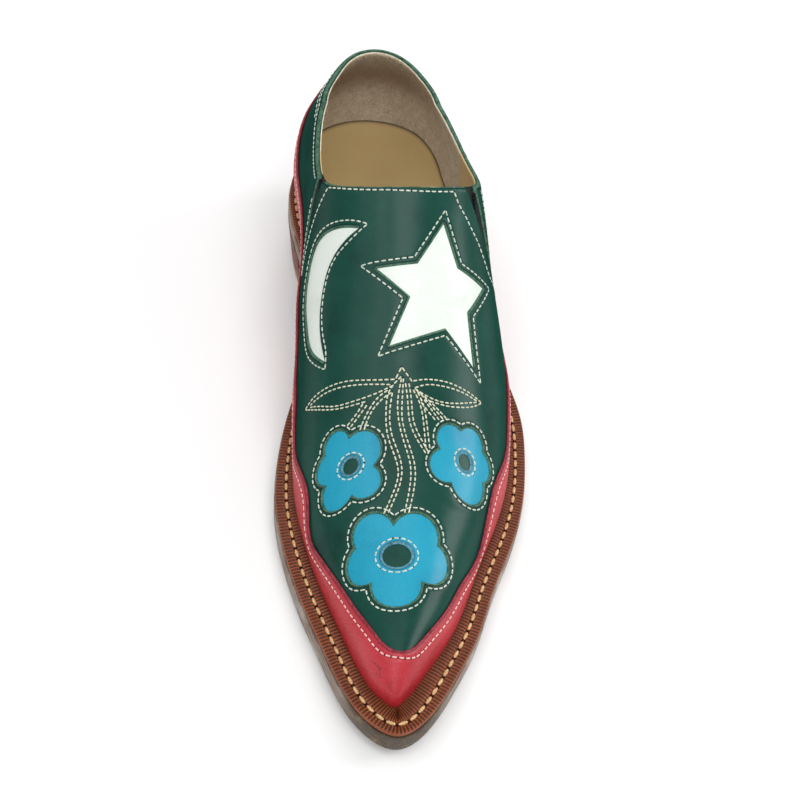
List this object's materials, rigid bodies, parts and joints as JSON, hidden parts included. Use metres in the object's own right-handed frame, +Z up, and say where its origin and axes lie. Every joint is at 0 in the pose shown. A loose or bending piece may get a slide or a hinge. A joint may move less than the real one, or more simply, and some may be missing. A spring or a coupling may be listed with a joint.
{
  "type": "western shoe",
  "caption": "Pointed low western slip-on shoe with inlaid ornament, red wing and counter overlays, welted leather sole and stacked heel.",
  "frame": {"origin": "centre of the footprint's bounding box, on the floor plane", "axes": "+Z up, +Y from toe to heel along the sole, +X towards the outer side of the foot"},
  "size_m": [0.0998, 0.2854, 0.0995],
  "materials": {
    "outsole": "burnished edge",
    "welt": "wheeled and stitched",
    "heel_lifts": "stacked and polished",
    "heel_top_piece": "matt",
    "insole": "smooth sock",
    "upper": "soft gloss",
    "red_overlays": "soft gloss",
    "gores": "matt elastic",
    "white_inlays": "soft gloss",
    "turquoise_inlays": "soft gloss"
  },
  "bodies": {
    "root": {"outsole": "outsole", "welt": "welt", "heel_lift_1": "heel_lifts", "heel_lift_2": "heel_lifts", "heel_lift_3": "heel_lifts", "heel_top_piece": "heel_top_piece", "insole": "insole", "upper": "upper", "toe_wing": "red_overlays", "heel_counter": "red_overlays", "medial_gore": "gores", "lateral_gore": "gores", "moon_inlay": "white_inlays", "star_inlay": "white_inlays", "big_flower_inlay": "turquoise_inlays", "medial_flower_inlay": "turquoise_inlays", "lateral_flower_inlay": "turquoise_inlays"}
  },
  "joints": []
}
